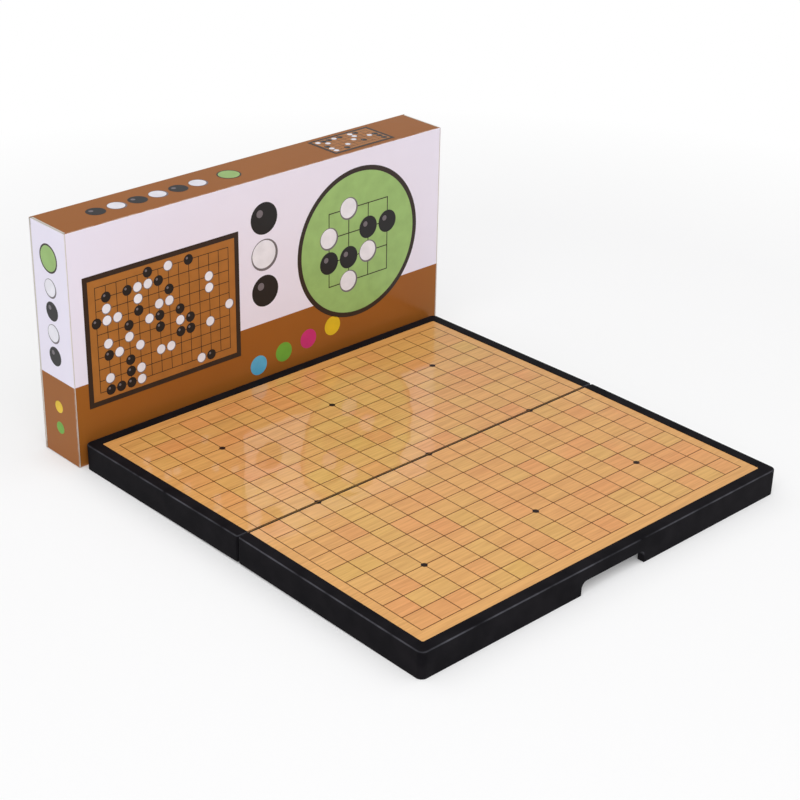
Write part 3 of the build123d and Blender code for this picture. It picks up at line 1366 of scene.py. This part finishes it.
@dataclass
class Carton:
    """The carton behind the board, with its two tuck-in ends."""

    band_height: float = 0.068
    panel: PanelLayout = PanelLayout()
    end: EndLayout = EndLayout()
    top: TopLayout = TopLayout()

    def dress_nodes(self) -> None:
        """Give the sleeve and its flaps their card."""
        low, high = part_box("carton_sleeve")
        sleeve = PrintedCard("sleeve_card", CardFace.SLEEVE, low, high, self.band_height).make()
        end = PrintedCard("end_card", CardFace.END, low, high, self.band_height).make()
        inside = PrintedCard("inside_card", CardFace.INSIDE, low, high, self.band_height).make()
        dress_node("carton_sleeve", sleeve)
        for side in ("left", "right"):
            dress_node(f"{side}_end_flap", end)
            for part in ("tuck_tongue", "upper_dust_flap", "lower_dust_flap"):
                dress_node(f"{side}_{part}", inside)

    def faces(self) -> list[PrintFace]:
        """Give the printed faces of the carton.

        Returns:
            The front, the back, the top, the left end and the right end.
        """
        low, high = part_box("carton_sleeve")
        middle = (low + high) / 2
        x, y, z = Vector((1, 0, 0)), Vector((0, 1, 0)), Vector((0, 0, 1))
        return [
            PrintFace("front_panel_print", "carton", Vector((0, low.y, 0)), x, z),
            PrintFace("back_panel_print", "carton", Vector((0, high.y, 0)), -x, z),
            PrintFace("top_panel_print", "carton", Vector((0, middle.y, high.z)), x, y),
            PrintFace("left_end_print", "left_end", Vector((low.x, middle.y, 0)), -y, z),
            PrintFace("right_end_print", "right_end", Vector((high.x, middle.y, 0)), y, z),
        ]

    def print_panel(self, face: PrintFace, inks: InkSet) -> None:
        """Print a large panel: a board, big stones, a disc with a corner play and dots.

        Args:
            face: Face of the carton.
            inks: Material of each ink.
        """
        plan = self.panel
        art = Artwork(face, inks)
        art.board(plan.board_centre, plan.board_cells, plan.board_step, plan.board_share, plan.board_seed)
        for index, black in enumerate((True, False, True)):
            spot = (plan.row_top[0], plan.row_top[1] - index * plan.row_step)
            art.stone(spot, plan.row_radius, black, 0)
        art.ringed_disc(plan.disc_centre, plan.disc_radius, plan.disc_ring, 0)
        art.grid(plan.disc_centre, (plan.play_cells, plan.play_cells), plan.play_step, plan.play_line, 2)
        for column, row, black in plan.corner_play:
            x = plan.disc_centre[0] + (column - plan.play_cells / 2) * plan.play_step
            y = plan.disc_centre[1] + (row - plan.play_cells / 2) * plan.play_step
            art.stone((x, y), plan.play_radius, black, 3)
        for index, ink in enumerate(plan.dot_inks):
            x = plan.dots_start[0] + index * plan.dots_step[0]
            y = plan.dots_start[1] + plan.dots_step[1] * index
            art.disc((x, y), plan.dot_radius, ink, 0)
        art.finish()

    def print_end(self, face: PrintFace, inks: InkSet) -> None:
        """Print an end: a ringed disc over a column of stones and dots.

        Args:
            face: Face of the carton.
            inks: Material of each ink.
        """
        plan = self.end
        art = Artwork(face, inks)
        art.ringed_disc((0.0, plan.disc_height), plan.disc_radius, plan.disc_ring, 0)
        for index in range(plan.stones):
            spot = (0.0, plan.stone_height - index * plan.stone_step)
            art.stone(spot, plan.stone_radius, index % 2 == 1, 0)
        for index, ink in enumerate(plan.dot_inks):
            art.disc((0.0, plan.dot_height - index * plan.dot_step), plan.dot_radius, ink, 0)
        art.finish()

    def print_top(self, face: PrintFace, inks: InkSet) -> None:
        """Print the top: a small board, a ringed disc and a row of stones.

        Args:
            face: Face of the carton.
            inks: Material of each ink.
        """
        plan = self.top
        art = Artwork(face, inks)
        art.board(plan.board_centre, plan.board_cells, plan.board_step, plan.board_share, plan.board_seed)
        art.ringed_disc(plan.disc_centre, plan.disc_radius, plan.disc_ring, 0)
        for index in range(plan.stones):
            spot = (plan.stone_start + index * plan.stone_step, 0.0)
            art.stone(spot, plan.stone_radius, index % 2 == 0, 0)
        art.finish()

    def print_all(self) -> None:
        """Print every face."""
        inks = {ink: ink.make() for ink in PrintInk}
        front, back, top, left, right = self.faces()
        self.print_panel(front, inks)
        self.print_panel(back, inks)
        self.print_top(top, inks)
        self.print_end(left, inks)
        self.print_end(right, inks)


@dataclass(frozen=True)
class Lamp:
    """One soft square lamp."""

    name: str
    place: Point3
    size: float
    power: float

    def hang(self, target: Vector) -> None:
        """Hang the lamp so that it points at a target.

        Args:
            target: Point that the lamp lights.
        """
        data = bpy.data.lights.new(self.name, "AREA")
        data.shape = "SQUARE"
        data.size = self.size
        data.energy = self.power
        lamp = bpy.data.objects.new(self.name, data)
        lamp.location = self.place
        lamp.rotation_euler = (target - Vector(self.place)).to_track_quat("-Z", "Y").to_euler()
        bpy.context.scene.collection.objects.link(lamp)


@dataclass
class Studio:
    """Pale floor, soft lamps and the camera at the photograph's angle."""

    azimuth: float = 43.378
    elevation: float = 26.768
    roll: float = 1.112
    lens: float = 83.064
    sensor: float = 36.0
    camera_place: Point3 = (-0.85989, -0.90118, 0.68732)
    floor_radius: float = 16.0
    floor_sides: int = 64
    wall_height: float = 4.5
    floor_drop: float = 0.0002
    floor_colour: Rgb = (248, 248, 249)
    floor_roughness: float = 0.95
    surroundings: float = 0.36
    light_below: float = 0.8
    horizon: float = 0.02
    whiteness: float = 0.6
    white_distance: float = 0.9
    shade_reach: float = 0.03
    shade_samples: int = 4
    clear_reach: Point2 = (0.187, 0.2105)
    target: Point3 = (0.0, 0.0, 0.05)
    lamps: tuple[Lamp, ...] = (
        Lamp("key_lamp", (-1.15, -0.95, 1.6), 2.4, 32.0),
        Lamp("fill_lamp", (1.4, -0.8, 1.4), 2.4, 14.5),
        Lamp("back_lamp", (-0.5, 1.9, 1.5), 2.2, 11.0),
    )

    def lay_floor(self) -> None:
        """Lay a pale floor with a low wall far round it, both seen through from outside."""
        shape = bmesh.new()
        drop = Matrix.Translation((0.0, 0.0, -self.floor_drop))
        bmesh.ops.create_circle(
            shape, cap_ends=True, segments=self.floor_sides, radius=self.floor_radius, matrix=drop
        )
        wall = bmesh.ops.extrude_edge_only(shape, edges=shape.edges[:])
        top = [part for part in wall["geom"] if isinstance(part, bmesh.types.BMVert)]
        bmesh.ops.translate(shape, vec=(0.0, 0.0, self.wall_height), verts=top)
        bmesh.ops.recalc_face_normals(shape, faces=shape.faces[:])
        if next(face for face in shape.faces if len(face.verts) > 4).normal.z < 0:
            bmesh.ops.reverse_faces(shape, faces=shape.faces[:])
        add_piece("floor", shape, [self._floor_paint()])

    def _floor_paint(self) -> bpy.types.Material:
        """Build the paint of the floor, which looks white and keeps the shadow of the set.

        Returns:
            The new material.
        """
        shader = Shader("floor_paint", self.floor_roughness)
        shader.colour(self.floor_colour)
        shader.surface.inputs["Specular IOR Level"].default_value = 0.0
        ray = shader.node("ShaderNodeLightPath")
        x, y, _ = shader.axes()
        seen = shader.math("MAXIMUM", ray.outputs["Is Camera Ray"], ray.outputs["Is Glossy Ray"])
        seen = shader.math("MAXIMUM", seen, ray.outputs["Is Transmission Ray"])
        white = shader.node("ShaderNodeEmission")
        paint = shader.node("ShaderNodeMixShader")
        shader.feed(paint.inputs[0], shader.math("MULTIPLY", seen, self._white_share(shader, x, y)))
        shader.feed(paint.inputs[1], shader.surface.outputs[0])
        shader.feed(paint.inputs[2], white.outputs[0])
        # Seen from below, or from the underside of the set, the floor isn't there
        facing = shader.node("ShaderNodeNewGeometry")
        near = shader.math("SUBTRACT", 1.0, ray.outputs["Is Camera Ray"])
        for value, reach in zip((x, y), self.clear_reach):
            under = shader.math("LESS_THAN", shader.math("ABSOLUTE", value), reach)
            near = shader.math("MULTIPLY", near, under)
        clear = shader.node("ShaderNodeBsdfTransparent")
        choose = shader.node("ShaderNodeMixShader")
        shader.feed(choose.inputs[0], shader.math("MAXIMUM", facing.outputs["Backfacing"], near))
        shader.feed(choose.inputs[1], paint.outputs[0])
        shader.feed(choose.inputs[2], clear.outputs[0])
        shader.feed(shader.tree.nodes["Material Output"].inputs["Surface"], choose.outputs[0])
        return shader.material

    def _white_share(self, shader: Shader, x: Socket, y: Socket) -> Socket:
        """Work out how much of the floor's look is plain white.

        Args:
            shader: Shader of the floor.
            x: Place along the fold.
            y: Place across it.

        Returns:
            A share that rises to 1 away from the set.
        """
        square = shader.math("ADD", shader.math("MULTIPLY", x, x), shader.math("MULTIPLY", y, y))
        far = shader.math("DIVIDE", shader.math("SQRT", square), self.white_distance)
        share = shader.math("MAXIMUM", self.whiteness, shader.math("MINIMUM", far, 1.0))
        # Right under the set, which is seen through the gap at the fold, the floor is dark
        shade = shader.node("ShaderNodeAmbientOcclusion", samples=self.shade_samples)
        shade.inputs["Distance"].default_value = self.shade_reach
        # Where the floor meets the far wall it stays white
        corner = shader.math("MAXIMUM", shade.outputs["AO"], shader.math("GREATER_THAN", far, 1.0))
        return shader.math("MULTIPLY", share, corner)

    def light(self) -> None:
        """Set the pale surroundings and the soft lamps."""
        world = bpy.data.worlds.new("studio")
        bpy.context.scene.world = world
        world.use_nodes = True
        tree = world.node_tree
        backdrop = tree.nodes["Background"]
        backdrop.inputs["Color"].default_value = (1.0, 1.0, 1.0, 1.0)
        # The light from below reaches the underside alone, because the floor is open there
        where = tree.nodes.new("ShaderNodeTexCoord")
        split = tree.nodes.new("ShaderNodeSeparateXYZ")
        strength = tree.nodes.new("ShaderNodeMapRange")
        strength.inputs["From Min"].default_value = self.horizon
        strength.inputs["From Max"].default_value = -self.horizon
        strength.inputs["To Min"].default_value = self.surroundings
        strength.inputs["To Max"].default_value = self.light_below
        tree.links.new(where.outputs["Generated"], split.inputs[0])
        tree.links.new(split.outputs[2], strength.inputs["Value"])
        tree.links.new(strength.outputs[0], backdrop.inputs["Strength"])
        for lamp in self.lamps:
            lamp.hang(Vector(self.target))

    def aim_camera(self) -> None:
        """Put the camera where the photograph was taken from."""
        data = bpy.data.cameras.new("camera")
        data.lens = self.lens
        data.sensor_width = self.sensor
        camera = bpy.data.objects.new("camera", data)
        turn = Matrix.Rotation(math.radians(-self.azimuth), 4, "Z")
        tilt = Matrix.Rotation(math.radians(90.0 - self.elevation), 4, "X")
        spin = Matrix.Rotation(math.radians(self.roll), 4, "Z")
        camera.matrix_world = Matrix.Translation(self.camera_place) @ turn @ tilt @ spin
        bpy.context.scene.collection.objects.link(camera)
        bpy.context.scene.camera = camera


def build_board() -> None:
    """Dress both halves of the board and print their grid."""
    fold_y = fold_joint()["pos_m"][1]
    cells = BoardHalf.lines - 1
    film = ParquetFilm("parquet_film", BoardHalf.pitch_x, BoardHalf.pitch_y, cells, fold_y).make()
    magnet = Metal("nickel_magnet", (176, 174, 170), roughness=0.22).make()
    finishes = {
        "tray": MouldedPlastic("black_moulding").make(),
        "grid_print": film,
        "steel_sheet": Metal("zinc_sheet", (186, 188, 192), roughness=0.35).make(),
        "closure_magnets": magnet,
    }
    line_ink = Ink("line_ink", (112, 66, 22), roughness=0.35).make()
    # The star ink also draws the line at the fold, which is painted shade of the gap between the films
    star_and_seam_shade_ink = Ink("star_and_seam_shade_ink", (32, 12, 6), roughness=0.45).make()
    for side in Side:
        half = BoardHalf(side, f"{side.value}_half")
        half.dress_nodes(finishes)
        half.print_grid(line_ink, star_and_seam_shade_ink)
    dress_node("hinge_pins", Metal("pin_wire", (172, 174, 178), roughness=0.28).make())


def fill_bags() -> None:
    """Make the bag of stones in the hollow of each half."""
    clear = ClearFilm("clear_bag").make()
    seal = ClearFilm("bag_seal", flat_cover=0.5, crease_sheen_cover=0.8).make()
    ferrite = Metal("ferrite_magnet", (122, 120, 118), roughness=0.35).make()
    lean = half_lean()
    bags = (
        (
            StoneBag("black_stone_bag", "front_half", "black_stones", lean, count=181, seed=2),
            (24, 24, 26),
        ),
        (
            StoneBag("white_stone_bag", "rear_half", "white_stones", -lean, count=180, seed=11),
            (238, 236, 230),
        ),
    )
    for bag, colour in bags:
        bag.pour_stones(Ink(f"{bag.node}_stone", colour, roughness=0.2, specular=0.5).make(), ferrite)
        bag.make_wrap(clear, seal)


def main() -> None:
    """Build and dress every piece of the set."""
    logging.basicConfig(level=logging.INFO, format="%(message)s")
    bpy.context.scene.view_settings.view_transform = "Standard"
    studio = Studio()
    studio.lay_floor()
    studio.light()
    studio.aim_camera()
    build_board()
    fill_bags()
    carton = Carton()
    carton.dress_nodes()
    carton.print_all()


if __name__ == "__main__":
    main()
